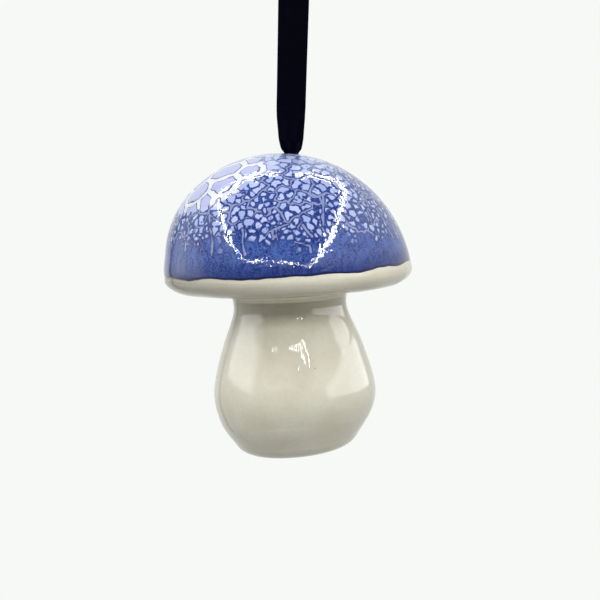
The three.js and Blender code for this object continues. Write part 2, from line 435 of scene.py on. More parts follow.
def mesh_piece(name, points, quads, material):
    piece = new_piece(name, points, facing_out(points, quads).tolist(), material)
    piece.data.shade_smooth()
    return piece


def add_field(piece, name, values):
    """Stores a number or a vector for each vertex, for the material to read."""
    vector = values.ndim == 2
    kind = "FLOAT_VECTOR" if vector else "FLOAT"
    stored = piece.data.attributes.new(name, kind, "POINT")
    stored.data.foreach_set("vector" if vector else "value", values.astype(np.float32).ravel())


def row_normals(rows):
    """Outward normals of rows of points that close around the piece."""
    around = np.roll(rows, -1, axis=1) - np.roll(rows, 1, axis=1)
    down = np.gradient(rows, axis=0)
    return unit_length(np.cross(down, around))


def catmull_rom(knots, steps):
    """Points of a smooth curve through the knots."""
    knots = np.asarray(knots, float)
    padded = np.vstack([knots[:1], knots, knots[-1:]])
    spans = len(knots) - 1
    places = np.linspace(0, spans, steps)
    index = np.minimum(places.astype(int), spans - 1)
    t = (places - index)[:, None]
    before, start, end, after = (padded[index + k] for k in range(4))
    leave = (end - before) / 2
    arrive = (after - start) / 2
    cubic = 2 * (start - end) + leave + arrive
    square = -3 * (start - end) - 2 * leave - arrive
    return ((cubic * t + square) * t + leave) * t + start


# Shape of the mushroom

def hand_shaped(points):
    """Drift of the dome, shift of the neck and slope of the foot."""
    shaped = points.copy()
    across = points[..., 0]
    level = points[..., 2]
    height = np.clip(level, 0, CAP_HEIGHT)
    shaped[..., 0] -= CAP_SKEW * height + CAP_BEND * np.sin(np.pi * height / CAP_HEIGHT)
    neck = smooth(level, low=-16, high=-9) * (1 - smooth(level, low=UNDERSIDE - 0.4, high=UNDERSIDE))
    shaped[..., 0] -= NECK_SHIFT * neck
    shaped[..., 2] += FOOT_SLOPE * smooth(SLOPE_START - level, 0, SLOPE_REACH) * across
    return shaped


def mouth_height():
    """Height of the dome where the ribbon hole opens."""
    height = CAP_HEIGHT
    for _ in range(SEARCH_ROUNDS):
        radius = HOLE_OFFSET + CAP_SKEW * height
        height = CAP_HEIGHT * math.sqrt(1 - (radius / CAP_RADIUS) ** 2)
    return height


MOUTH = mouth_height()


def hung(points):
    """Moves points from the mushroom's own frame to where it hangs."""
    x, y, z = points[..., 0], points[..., 1], points[..., 2]
    across = (x - HOLE_OFFSET) * math.cos(LEAN) - (z - MOUTH) * math.sin(LEAN)
    up = (x - HOLE_OFFSET) * math.sin(LEAN) + (z - MOUTH) * math.cos(LEAN)
    return np.stack([across, y, up - RIBBON_DROP], axis=-1)


def hole_angle(radius, height):
    """Angle between the crown and the ribbon hole on a dome of this size."""
    z = height
    for _ in range(SEARCH_ROUNDS):
        x = HOLE_OFFSET + (z - MOUTH) * math.tan(LEAN) + CAP_SKEW * z
        z = height * math.sqrt(1 - (x / radius) ** 2)
    return math.asin(x / radius)


def dome_rows(inset, hole, bottom, rows, columns):
    """Rows of points on or inside the dome, from the hole's edge down to a height."""
    radius = CAP_RADIUS - inset
    height = CAP_HEIGHT - inset
    pole = hole_angle(radius, height)
    turn = turns(columns)
    centre = np.array([math.sin(pole), 0, math.cos(pole)])
    sideways = np.cos(turn)
    away = np.stack([sideways * math.cos(pole), np.sin(turn), -sideways * math.sin(pole)], axis=1)
    tilt = np.arctan2(away[:, 2], centre[2])
    reach = np.hypot(away[:, 2], centre[2])
    last = tilt + np.arccos(bottom / height / reach)
    first = hole / radius
    polar = first + (last - first) * np.linspace(0, 1, rows)[:, None]
    unit = np.cos(polar)[..., None] * centre + np.sin(polar)[..., None] * away
    return unit * [radius, radius, height]


def turned_rows(profile, angles):
    """Rows of points from a profile of [radius, height] turned to the given angles."""
    radius, height = np.array(profile).T[..., None]
    rows = np.broadcast_arrays(radius * np.cos(angles), radius * np.sin(angles), height)
    return np.stack(rows, axis=-1)


def arc(centre_radius, centre, reach, rise, start, end, steps):
    """Points of an ellipse in a profile, between two angles."""
    angles = np.radians(np.linspace(start, end, steps))
    return [(centre_radius + reach * math.cos(a), centre + rise * math.sin(a)) for a in angles]


# Crawl pattern of the glaze

def plate_share(unit):
    """1 in the zone of the large plates, 0 beyond its wandering edge."""
    wander = [uneven(unit, "plate_zone", k) for k in range(3)]
    moved = unit_length(unit + np.stack(wander, axis=-1))
    towards = np.clip(moved @ direction_of(*PLATE_ZONE), -1, 1)
    return 1 - smooth(np.degrees(np.arccos(towards)), low=22, high=25)


def cell_spacing(unit):
    """How far apart the islands lie at places on the unit dome."""
    sides = smooth(np.abs(unit[:, 0]), *SIDES_SPAN)
    crown = smooth(unit[:, 2], low=0.8, high=0.95)
    spacing = CELL + (CELL_SIDES - CELL) * sides + (CELL_CROWN - CELL) * crown
    spacing *= np.clip(1 + uneven(unit, "cell_spacing"), *CELL_EVENNESS)
    return spacing + (PLATE - spacing) * plate_share(unit)


def group_spacing(unit):
    return np.full(len(unit), GROUP)


def scattered(spacing_of, tries, seed, placed=()):
    """Seeds over the dome that keep the spacing asked for at each place."""
    source = np.random.default_rng(seed)
    draws = unit_length(source.normal(size=(tries, 3)))
    draws[:, 2] = np.abs(draws[:, 2])
    units = np.vstack([np.reshape(placed, (-1, 3)), draws])
    spacing = spacing_of(units)
    kept = np.empty((len(units), 3))
    kept_spacing = np.empty(len(units))
    count = 0
    for unit, own in zip(units, spacing):
        gaps = np.linalg.norm(kept[:count] - unit, axis=1) * CAP_RADIUS
        if count and np.any(gaps < CLOSENESS * (own + kept_spacing[:count]) / 2):
            continue
        kept[count] = unit
        kept_spacing[count] = own
        count += 1
    return kept[:count]


def nearest(points, seeds, count, chunk=4000):
    """Indices and squared distances of the nearest seeds of each point."""
    found = []
    for part in np.array_split(points, len(points) // chunk + 1):
        square = (part**2).sum(axis=1)[:, None] - 2 * part @ seeds.T + (seeds**2).sum(axis=1)
        pick = np.argpartition(square, count, axis=1)[:, :count]
        values = np.take_along_axis(square, pick, axis=1)
        rank = np.argsort(values, axis=1)
        found.append([np.take_along_axis(unsorted, rank, axis=1) for unsorted in (pick, values)])
    return [np.concatenate(parts) for parts in zip(*found)]


def soft_least(values, round_off):
    """Least of each row, with its corners rounded off."""
    return -round_off * np.log(np.exp(-values / round_off).sum(axis=1))


def all_strokes():
    """The strokes in front, and others like them around the rest of the dome."""
    source = np.random.default_rng(STROKE_SEED)
    strokes = list(STROKES)
    for azimuth in np.linspace(start=52, stop=308, num=BACK_STROKES):
        top = source.uniform(low=22, high=32)
        lean = source.uniform(low=-3, high=3)
        strokes.append([(azimuth, top), (azimuth + lean, source.uniform(low=12, high=18))])
    return strokes


def stroke_distance(spot):
    """Distance from points on the dome to the nearest stroke."""
    least = np.full(len(spot), np.inf)
    for stroke in all_strokes():
        ends = [direction_of(*turn) * CAP_RADIUS for turn in stroke]
        for start, end in zip(ends, ends[1:]):
            run = end - start
            share = np.clip((spot - start) @ run / (run @ run), 0, 1)
            gap = np.linalg.norm(spot - start - share[:, None] * run, axis=1)
            least = np.minimum(least, gap)
    return least


def cell_traits(cells, plates):
    """Tone, sinking, shrinking and pit of each island, by chance; plates don't sink and have no pit."""
    count = len(cells)
    source = np.random.default_rng(TRAIT_SEED)
    tone = source.uniform(low=0.3, high=1.0, size=count)
    sunk = np.where(source.random(count) < SUNK_CHANCE, SUNK_INSET, 0.0)
    pit_place = cells * CAP_RADIUS + source.normal(loc=0, scale=0.18, size=(count, 3))
    pitted = source.random(count) < PIT_CHANCE
    pit_size = source.uniform(low=0.13, high=0.25, size=count)
    shrink = source.uniform(low=-0.10, high=0.15, size=count)
    sunk[plates] = 0.0
    pit_size[plates | ~pitted] = 0.0
    return tone, sunk, shrink, pit_place, pit_size


def channel_width(unit, spot, plate):
    """Half-width of the channels, which close towards the glaze's lower edge."""
    width = CHANNEL * (1.0 + uneven(spot, "channel_width"))
    width = np.maximum(width + (PLATE_CHANNEL - width) * plate, CHANNEL_LEAST)
    fade = smooth(unit[:, 2] + uneven(spot, "channel_fade"), low=0.24, high=0.40)
    return width * fade - CHANNEL_CLOSED * (1 - fade)


def island_inset(unit, fade, plate, sunk, shrink):
    """How far the islands stay back from their borders."""
    inset = INSET - INSET_CROWN * smooth(unit[:, 2], low=0.6, high=0.9)
    inset = inset + INSET_FADE * (1 - fade) + sunk + shrink
    inset = inset + INSET_SIDES * smooth(np.abs(unit[:, 0]), *SIDES_SPAN)
    return inset * (1 - plate) - INSET_PLATE * plate


def crawl_fields(unit):
    """Distances in millimetres to the channels, islands and pits of the glaze, and its zones."""
    placed = [direction_of(*seed) for seed in PLATE_SEEDS]
    cells = scattered(cell_spacing, *CELL_DRAW, placed)
    groups = scattered(group_spacing, *GROUP_DRAW)
    plates = plate_share(cells) > 0.5
    group = nearest(cells, groups, 1)[0][:, 0]
    group[plates] = len(groups) + np.arange(plates.sum())
    tone, sunk, shrink, pit_place, pit_size = cell_traits(cells, plates)

    spot = unit * CAP_RADIUS
    wander = [uneven(spot, "borders", k) + uneven(spot, "borders_fine", k) for k in range(3)]
    moved = spot + np.stack(wander, axis=1)
    order, squares = nearest(moved, cells * CAP_RADIUS, NEIGHBOURS)
    own = order[:, :1]
    others = order[:, 1:]
    span = np.linalg.norm(cells[others] - cells[own], axis=2) * CAP_RADIUS
    border = (squares[:, 1:] - squares[:, :1]) / (2 * span)
    apart = np.where(group[others] != group[own], border, FAR_BORDER)
    own = own[:, 0]

    plate = plate_share(unit)
    fade = smooth(unit[:, 2] + uneven(spot, "fade"), low=0.16, high=0.42)
    channel = soft_least(apart, CHANNEL_ROUND) - channel_width(unit, spot, plate)
    stroke = stroke_distance(spot + STROKE_WANDER * (moved - spot))
    channel = np.minimum(channel, stroke - STROKE * (1 + uneven(spot, "strokes")))
    island = soft_least(border, ISLAND_ROUND) - island_inset(unit, fade, plate, sunk[own], shrink[own])
    island = np.minimum(island, channel - INSET_CHANNEL * (1 - plate) - OUTLINE * plate)
    island = island + (uneven(spot, "islands") + uneven(spot, "islands_fine")) * (1 - plate)
    island = island / (1 + FADE_SOFTNESS * (1 - fade))
    pit = np.linalg.norm(moved - pit_place[own], axis=1) - pit_size[own]
    pit = np.where(pit_size[own] > 0, pit, 1.0)
    return np.stack([channel, island, pit], axis=1), np.stack([fade, plate, tone[own]], axis=1)


def crawl_relief(unit, crawl):
    """Height of the glaze over an even coat."""
    spot = unit * CAP_RADIUS
    channel, island, pit = crawl.T
    height = -CHANNEL_DEPTH * (1 - smooth(channel, low=-0.10, high=0.32))
    height += ISLAND_RISE * smooth(island, low=-0.1, high=0.4)
    height -= PIT_DEPTH * (1 - smooth(pit, low=-0.1, high=0.2))
    height += uneven(spot, "coat")
    height += uneven(spot, "coat_fine")
    return height


# Materials

def new_material(name):
    material = bpy.data.materials.new(name)
    material.use_nodes = True
    tree = material.node_tree
    return material, tree, tree.nodes["Principled BSDF"]


def stage_material(name):
    material, tree, _ = new_material(name)
    tree.nodes.clear()
    return material, tree


def node(tree, kind, inputs=None, **settings):
    """Adds a node with its settings, and sets or links its inputs."""
    made = tree.nodes.new("ShaderNode" + kind)
    for key, value in settings.items():
        setattr(made, key, value)
    set_inputs(tree, made, inputs or {})
    return made


def set_inputs(tree, made, inputs):
    """Sets the inputs of a node, or links them where the value is a socket."""
    for key, value in inputs.items():
        if isinstance(value, bpy.types.NodeSocket):
            tree.links.new(value, made.inputs[key])
        else:
            made.inputs[key].default_value = value


def field(tree, name):
    """The three sockets of a vector that is stored at each vertex."""
    stored = node(tree, "Attribute", attribute_name=name)
    parts = node(tree, "SeparateXYZ", {0: stored.outputs["Vector"]})
    return parts.outputs[0], parts.outputs[1], parts.outputs[2]


def stored_number(tree, name):
    return node(tree, "Attribute", attribute_name=name).outputs["Fac"]


def ramp(tree, value, start, full, results=(0.0, 1.0)):
    """Smooth step of a value from where it starts to where it is full."""
    inputs = dict(enumerate((value, start, full, *results)))
    return node(tree, "MapRange", inputs, interpolation_type="SMOOTHSTEP").outputs[0]


def calculate(tree, operation, first, second):
    return node(tree, "Math", {0: first, 1: second}, operation=operation).outputs[0]


def times(tree, first, second):
    return calculate(tree, "MULTIPLY", first, second)


def blend_colour(tree, share, first, second):
    return node(tree, "Mix", {0: share, 6: first, 7: second}, data_type="RGBA").outputs[2]


def layered(tree, colour, layers):
    """Lays colours over a colour, each by its share."""
    for share, cover in layers:
        colour = blend_colour(tree, share, colour, cover)
    return colour


def place(tree):
    """The point on the piece in millimetres."""
    point = node(tree, "TexCoord").outputs["Object"]
    return node(tree, "VectorMath", {0: point, 3: 1 / MM}, operation="SCALE").outputs[0]


def stretched(tree, spot, factors):
    return node(tree, "VectorMath", {0: spot, 1: factors}, operation="MULTIPLY").outputs[0]


def cloud(tree, spot, length, detail):
    """Noise from 0 to 1 with features of about the given length in millimetres."""
    made = node(tree, "TexNoise", {"Vector": spot, "Scale": 1 / length, "Detail": detail})
    return made.outputs["Fac"]


def patches(tree, spot, length, detail, start, full):
    return ramp(tree, cloud(tree, spot, length, detail), start, full)


def bump(tree, height, strength, depth):
    inputs = {"Strength": strength, "Distance": depth * MM, "Height": height}
    return node(tree, "Bump", inputs).outputs[0]


def melt_colour(tree, spot, fade, lip):
    """Speckled blue melt, paler at the crown and streaked where the pattern fades out."""
    speckle = patches(tree, spot, length=0.4, detail=4.0, start=0.38, full=0.66)
    drift = patches(tree, spot, length=4.0, detail=2.0, start=0.35, full=0.7)
    crown = ramp(tree, lip, start=20.0, full=30.0)
    tall = stretched(tree, spot, (1, 1, 0.25))
    streaks = patches(tree, tall, length=0.9, detail=2.0, start=0.42, full=0.68)
    streaks = times(tree, streaks, ramp(tree, fade, start=1.0, full=0.2, results=(0.0, 0.55)))
    melt = blend_colour(tree, speckle, paint("melt_dark"), paint("melt_light"))
    return layered(tree, melt, [
        (times(tree, drift, 0.35), paint("melt_drift")),
        (times(tree, crown, 0.7), paint("melt_crown")),
        (streaks, paint("melt_streak")),
    ])


def glaze_colour(tree, spot, lip):
    """Pale islands in dark rings on the melt, parted by grey channels, dark at the lip."""
    channel, island, pit = field(tree, "crawl")
    fade, plate, tone = field(tree, "zones")
    seen = ramp(tree, fade, start=0.4, full=0.9)
    calm = ramp(tree, lip, start=20.0, full=30.0, results=(1.0, 0.5))
    near_island = ramp(tree, island, start=-0.33, full=-0.11)
    ring = times(tree, near_island, ramp(tree, island, start=0.06, full=-0.08))
    ring = times(tree, times(tree, ring, calm), seen)
    outline = ramp(tree, channel, start=OUTLINE + 0.14, full=OUTLINE - 0.04)
    pale = blend_colour(tree, tone, paint("island_dull"), paint("island_pale"))
    pale = blend_colour(tree, plate, pale, paint("plate"))
    bare = blend_colour(tree, plate, paint("channel"), paint("plate_channel"))
    low = ramp(tree, lip, start=4.5, full=0.3)
    return layered(tree, melt_colour(tree, spot, fade, lip), [
        (times(tree, ring, 0.8), paint("island_ring")),
        (times(tree, ramp(tree, island, start=-0.07, full=0.17), seen), pale),
        (ramp(tree, pit, start=0.10, full=-0.06), paint("pit")),
        (times(tree, outline, times(tree, calm, 0.9)), paint("channel_edge")),
        (ramp(tree, channel, start=0.05, full=-0.07), bare),
        (times(tree, low, 0.65), paint("glaze_low")),
        (ramp(tree, lip, start=0.5, full=0.1), paint("glaze_lip")),
    ])


def glaze_material():
    """Blue crawl glaze with a gloss that is calmer low on the dome."""
    material, tree, shader = new_material("blue_crawl_glaze")
    spot = place(tree)
    lip = stored_number(tree, "lip")
    strength = ramp(tree, lip, start=4.0, full=13.0, results=(0.10, 0.36))
    set_inputs(tree, shader, {
        "Base Color": glaze_colour(tree, spot, lip),
        "Roughness": 0.05,
        "IOR": 1.6,
        "Normal": bump(tree, cloud(tree, spot, length=0.4, detail=2.0), strength, depth=0.02),
    })
    return material


def speck_spots():
    """Where the specks lie on the hung stem."""
    curve = catmull_rom(STEM_KNOTS, STEM_ROWS)
    spots = []
    for azimuth, height in SPECKS:
        radius = np.interp(height, curve[:, 1], curve[:, 0])
        spots.append(direction_of(azimuth, 0) * radius + [0, 0, height])
    return hung(hand_shaped(np.array(spots)))


def clay_material():
    """White clay under a clear gloss glaze, with faint clouds and a few tiny specks."""
    material, tree, shader = new_material("white_clay")
    spot = place(tree)
    clouds = patches(tree, spot, length=7.0, detail=3.0, start=0.3, full=0.7)
    grain = patches(tree, spot, length=0.6, detail=3.0, start=0.4, full=0.7)
    clay = blend_colour(tree, clouds, paint("clay_dull"), paint("clay_pale"))
    layers = [(times(tree, grain, 0.25), paint("clay_grain"))]
    for speck in speck_spots():
        away = node(tree, "VectorMath", {0: spot, 1: tuple(speck)}, operation="DISTANCE").outputs["Value"]
        dot = ramp(tree, away, start=SPECK_RADIUS, full=SPECK_RADIUS / 2, results=(0.0, 0.5))
        layers.append((dot, paint("speck")))
    set_inputs(tree, shader, {
        "Base Color": layered(tree, clay, layers),
        "Roughness": 0.035,
        "IOR": 1.5,
        "Normal": bump(tree, cloud(tree, spot, length=2.5, detail=1.0), strength=0.3, depth=0.06),
    })
    return material


def satin_material():
    """Near-black navy satin with a fine diagonal twill."""
    material, tree, shader = new_material("navy_satin")
    cloth = node(tree, "Attribute", attribute_name="cloth").outputs["Vector"]
    slanted = stretched(tree, cloth, (-1.73, 1, 0))
    inputs = {"Vector": slanted, "Scale": 0.6, "Distortion": 0.6, "Detail": 1.0, "Detail Scale": 2.0}
    wave = node(tree, "TexWave", inputs, wave_type="BANDS", bands_direction="DIAGONAL")
    twill = wave.outputs["Fac"]
    set_inputs(tree, shader, {
        "Base Color": blend_colour(tree, twill, paint("satin_dark"), paint("satin_light")),
        "Roughness": 0.55,
        "Specular IOR Level": 0.05,
        "Normal": bump(tree, twill, strength=0.4, depth=0.05),
    })
    return material


# Ceramic pieces

def ring_loop(rows, name, material):
    """A closed piece from rows of points that run once around its section."""
    quads = quads_between(rows.shape[0], rows.shape[1], True, True)
    return mesh_piece(name, hung(hand_shaped(rows)).reshape(-1, 3), quads, material)


def lip_height(turn):
    """Height of the glaze's wavy lower edge at angles around the cap."""
    around = np.stack([np.cos(turn), np.sin(turn), np.zeros(len(turn))], axis=1) * CAP_RADIUS
    wave = uneven(around, "lip") + uneven(around, "lip_fine")
    return GLAZE_LINE + GLAZE_TILT * np.cos(turn) + wave


def coat_flare(points):
    """How far the dome's lower edge stands out, most on the left."""
    left = (1 - np.cos(np.arctan2(points[..., 1], points[..., 0]))) / 2
    return COAT_FLARE * left**2


def rolled_rows(edge, inside, normals, radius, angles):
    """Rows that roll over an edge of the coat, away from the row inside it."""
    away = unit_length(edge - inside)
    rows = []
    for angle in np.radians(angles):
        step = away * radius * math.sin(angle)
        rows.append(edge + step - normals * radius * (1 - math.cos(angle)))
    return rows


def glaze_coat(material):
    """The coat on the dome, rolled into the ribbon hole and ending in a wavy lip."""
    columns = 720
    bottom = lip_height(turns(columns))
    hole = HOLE_RADIUS + HOLE_ROUND
    outer = dome_rows(0, hole, bottom + LIP_ROUND, rows=196, columns=columns)
    unit = (outer / [CAP_RADIUS, CAP_RADIUS, CAP_HEIGHT]).reshape(-1, 3)
    crawl, zones = crawl_fields(unit)
    normals = row_normals(outer)
    relief = crawl_relief(unit, crawl).reshape(outer.shape[:2])
    lip = np.linalg.norm(outer - outer[-1], axis=2)
    relief *= smooth(lip, 0, LIP_CALM)
    relief += coat_flare(outer) * (1 - smooth(lip, 0, FLARE_REACH))
    outer = outer + normals * relief[..., None]

    lip_rows = rolled_rows(outer[-1], outer[-2], normals[-1], LIP_ROUND, LIP_ANGLES)
    lip_rows.append(lip_rows[-1] - normals[-1] * COAT_DEPTH)
    hole_rows = rolled_rows(outer[0], outer[1], normals[0], HOLE_ROUND, HOLE_ANGLES)
    hole_rows.insert(0, hole_rows[0] - normals[0] * COAT_DEPTH)
    inner = dome_rows(COAT_DEPTH, hole, bottom + COAT_GAP, rows=24, columns=columns)
    rows = np.concatenate([hole_rows, outer, lip_rows, inner[::-1]])
    piece = ring_loop(rows, "glaze_coat", material)

    # Rows beyond the outer surface take the values of the row that they roll out of.
    source = np.clip(np.arange(len(rows)) - len(hole_rows), 0, len(outer) - 1)
    grid = outer.shape[:2]
    add_field(piece, "crawl", crawl.reshape(*grid, 3)[source].reshape(-1, 3))
    add_field(piece, "zones", zones.reshape(*grid, 3)[source].reshape(-1, 3))
    add_field(piece, "lip", lip[source].ravel())
    return piece


def cap_profile():
    """Section of the cap from behind the glaze over rim and underside into the socket."""
    edge = CAP_RADIUS - COAT_STEP
    widest = CAP_RADIUS + RIM_BULGE
    swell = np.array(RIM_SWELL)
    swollen = edge + (widest - edge) * np.sin(swell * math.pi / 2)
    tuck_in, tuck_up = RIM_TUCK
    slope_radius, slope_rise = UNDERSIDE_SLOPE
    mouth = SOCKET_RADIUS + SOCKET_EASE
    return [
        (edge - tuck_in, tuck_up),
        *zip(swollen, RIM_MIDDLE * swell),
        *arc(widest - RIM_ROUND, RIM_MIDDLE, RIM_ROUND, RIM_DROP + RIM_MIDDLE, 0, -90, steps=24),
        (slope_radius, UNDERSIDE + slope_rise),
        (UNDERSIDE_FLAT, UNDERSIDE),
        (mouth, UNDERSIDE),
        *arc(mouth, UNDERSIDE + SOCKET_EASE, SOCKET_EASE, SOCKET_EASE, -120, -180, steps=4),
        (SOCKET_RADIUS, SOCKET_MIDDLE),
        (SOCKET_RADIUS, CAP_FLOOR - SOCKET_EASE),
        *arc(mouth, CAP_FLOOR - SOCKET_EASE, SOCKET_EASE, SOCKET_EASE, 180, 90, steps=4),
    ]


def clay_cap(material):
    """Hollow cap: dome under the glaze, rim, underside with the stem's socket, and inside."""
    under = COAT_DEPTH + COAT_GAP
    lip = lip_height(turns(CAP_GRID["columns"]))
    outer = dome_rows(under, HOLE_RADIUS, lip + CLAY_ABOVE_LIP, **CAP_GRID)
    inner = dome_rows(under + CAP_WALL, HOLE_RADIUS, CAP_FLOOR, **CAP_GRID)
    rim = turned_rows(cap_profile(), np.arctan2(outer[-1][:, 1], outer[-1][:, 0]))

    # The first rows follow the glaze's wavy edge and flare, less and less on the way down.
    follow = np.array([1.0, *(1 - np.array(RIM_SWELL))])[:, None]
    first = slice(0, len(follow))
    rim[first, :, 2] += follow * lip
    flare = coat_flare(rim[first]) / CAP_RADIUS * follow
    rim[first, :, :2] *= 1 + flare[..., None]
    shift = smooth(lip - rim[..., 2], low=0, high=1.4) * smooth(rim[..., 2], low=-3.6, high=-1.4)
    rim[..., 0] += RIM_SHIFT * shift
    outside = smooth(np.hypot(rim[..., 0], rim[..., 1]), low=20, high=24)
    rim = rim + row_normals(rim) * (outside * uneven(rim, "rim"))[..., None]
    return ring_loop(np.concatenate([outer, rim, inner[::-1]]), "clay_cap", material)


def stem_profile():
    """Section of the hollow stem, down its side, round the foot and up inside."""
    side = catmull_rom(STEM_KNOTS, STEM_ROWS)[::-1]
    (heel, heel_height), (belly, belly_height) = STEM_KNOTS[:2]
    slope = (belly - heel) / (belly_height - heel_height)
    corner = np.array([heel - slope * (heel_height - FOOT), FOOT])
    t = np.linspace(0, 1, num=24)[1:, None]
    heel_point = np.array([heel, heel_height])
    foot_point = np.array([FOOT_RADIUS, FOOT])
    heel_round = (1 - t) ** 2 * heel_point + 2 * t * (1 - t) * corner + t**2 * foot_point
    inside_start = FOOT + FOOT_WALL + FOOT_INSIDE_STEP
    inside_knots = [(radius - STEM_WALL, height) for radius, height in STEM_KNOTS]
    inside_curve = catmull_rom(inside_knots, steps=40)
    inside = [point for point in inside_curve if point[1] > inside_start]
    opening = FOOT_OPENING + FOOT_EASE
    mouth = arc(opening, FOOT + FOOT_EASE, FOOT_EASE, FOOT_EASE, -90, -180, steps=5)
    lid = arc(opening, FOOT + FOOT_WALL - FOOT_EASE, FOOT_EASE, FOOT_EASE, 180, 90, steps=5)
    return [*side, *heel_round, *mouth, *lid, *inside]


def clay_stem(material):
    rows = turned_rows(stem_profile(), turns(count=300))
    rows = rows + row_normals(rows) * uneven(rows, "stem")[..., None]
    return ring_loop(rows, "clay_stem", material)


def slip_bead(material):
    """The cove of slip that runs from the cap's underside into the neck."""
    neck = STEM_KNOTS[-1][0]
    socket = SOCKET_RADIUS + BEAD_GAP
    top = UNDERSIDE + BEAD_LAP
    profile = [
        *arc(neck + BEAD_OUT, UNDERSIDE - BEAD_DOWN, BEAD_OUT, BEAD_DOWN, 90, 180, steps=12),
        (neck - BEAD_GAP, UNDERSIDE - BEAD_DOWN - BEAD_LAP),
        (socket, STEM_TOP + BEAD_GAP),
        (socket, top),
        (neck + BEAD_OUT - 2 * BEAD_LAP, top),
    ]
    return ring_loop(turned_rows(profile, turns(count=240)), "slip_bead", material)


# Ribbon

def half_width(height):
    return np.interp(height, *np.array(GATHER).T)


def pleat_depth(width, across):
    """Depth of the pleats that take up the cloth where the ribbon is drawn in."""
    spare = np.sqrt(np.maximum(RIBBON_WIDTH / 2 / width - 1, 0))
    depth = 2 * width * spare / (math.pi * PLEATS)
    return depth * np.sin(math.pi * PLEATS * across + PLEAT_SHIFT)


def ribbon_strip(line, widths):
    """Points, quads and cloth coordinates of one strip of ribbon along a line in the YZ plane."""
    count = len(line)
    ring = 2 * STRIP_COLUMNS
    across = np.concatenate([np.linspace(-1, 1, STRIP_COLUMNS), np.linspace(1, -1, STRIP_COLUMNS)])
    side = np.repeat([1.0, -1.0], STRIP_COLUMNS)
    edge = np.abs(across)
    selvedge = SELVEDGE * smooth(edge, low=0.86, high=0.95)
    thick = RIBBON_THICK / 2 + selvedge - EDGE_THINNING * smooth(edge, low=0.97, high=1.0)
    along = unit_length(np.gradient(line, axis=0))
    normal = np.stack([-along[:, 1], along[:, 0]], axis=1)
    run = np.concatenate([[0], np.cumsum(np.linalg.norm(np.diff(line, axis=0), axis=1))])
    sway = np.interp(line[:, 1] + RIBBON_DROP, *np.array(SWAY).T)
    lift = side * thick + pleat_depth(widths[:, None], across)
    x = widths[:, None] * across + sway[:, None]
    y = line[:, :1] + normal[:, :1] * lift
    z = line[:, 1:] + normal[:, 1:] * lift
    points = np.stack([x, y, z], axis=-1).reshape(-1, 3)
    cloth = np.broadcast_arrays(RIBBON_WIDTH / 2 * across, run[:, None], 0.0)
    pairs = np.arange(STRIP_COLUMNS - 1)
    end = np.stack([pairs, pairs + 1, ring - 2 - pairs, ring - 1 - pairs], axis=1)
    quads = [quads_between(count, ring, False, True), end[:, ::-1], end + (count - 1) * ring]
    return points, np.concatenate(quads), np.stack(cloth, axis=-1).reshape(-1, 3)


def ribbon_piece(name, strips, material):
    points, quads, cloth = zip(*strips)
    starts = np.cumsum([0, *map(len, points[:-1])])
    quads = [facing_out(spots, faces) + start for spots, faces, start in zip(points, quads, starts)]
    piece = mesh_piece(name, np.concatenate(points), np.concatenate(quads), material)
    add_field(piece, "cloth", np.concatenate(cloth))
    return piece


def loop_line():
    """Centreline of the loop as [y, z], from the front of the gather over the top to its back."""
    foot = [(-STRAND_GAP, SPLIT_HEIGHT - RIBBON_DROP), STRAND_FOOT]
    front = foot + [(y, z + ROUTE_RISE) for y, z in FRONT_ROUTE]
    back = [(-y, z) for y, z in reversed(front)]
    return catmull_rom([*front, (0, ROUTE_RISE), *back], steps=360)


def ribbon_loop(material):
    """Both strands and the loop's top in one strip, and its centreline in metres."""
    line = loop_line()
    widths = half_width(line[:, 1] + RIBBON_DROP)
    piece = ribbon_piece("ribbon_strands", [ribbon_strip(line, widths)], material)
    path = [Vector((0, y * MM, z * MM)) for y, z in line]
    return piece, path


def ribbon_sheets(name, top, bottom, material):
    """Both strands between two heights above the mouth of the hole."""
    heights = np.linspace(bottom, top, SHEET_ROWS)
    strips = []
    for side in (-1, 1):
        line = np.stack([np.full(SHEET_ROWS, side * STRAND_GAP), heights - RIBBON_DROP], axis=1)
        strips.append(ribbon_strip(line[::side], half_width(heights[::side])))
    return ribbon_piece(name, strips, material)


def ribbon_knot(material):
    """An overhand knot of bunched ribbon."""
    t = turns(count=180)
    trefoil = [np.sin(t) + 2 * np.sin(2 * t), np.cos(t) - 2 * np.cos(2 * t), -np.sin(3 * t)]
    reach = (KNOT_WIDTH / 2 - KNOT_INSET) / TREFOIL_REACH
    out = np.stack(trefoil, axis=1) * [reach, reach, KNOT_HEIGHT / 2 - KNOT_INSET]
    centre = out + [0, 0, KNOT_MIDDLE - RIBBON_DROP]
    along = unit_length(np.roll(centre, -1, axis=0) - np.roll(centre, 1, axis=0))
    side = unit_length(np.cross(along, out))
    up = np.cross(side, along)
    angles = turns(count=28)
    crease = 1 + KNOT_CREASE * np.cos(KNOT_CREASES * angles)
    half_across, half_thick = KNOT_BUNCH
    wide = half_across * np.cos(angles) * crease
    flat = half_thick * np.sin(angles) * crease
    rows = centre[:, None] + side[:, None] * wide[:, None] + up[:, None] * flat[:, None]
    quads = quads_between(len(t), len(angles), True, True)
    piece = mesh_piece("ribbon_tied", rows.reshape(-1, 3), quads, material)
    cloth_across, cloth_along = KNOT_CLOTH
    cloth = np.broadcast_arrays(wide[None] * cloth_across, (t * cloth_along)[:, None], np.zeros((1, 1)))
    add_field(piece, "cloth", np.stack(cloth, axis=-1).reshape(-1, 3))
    return piece


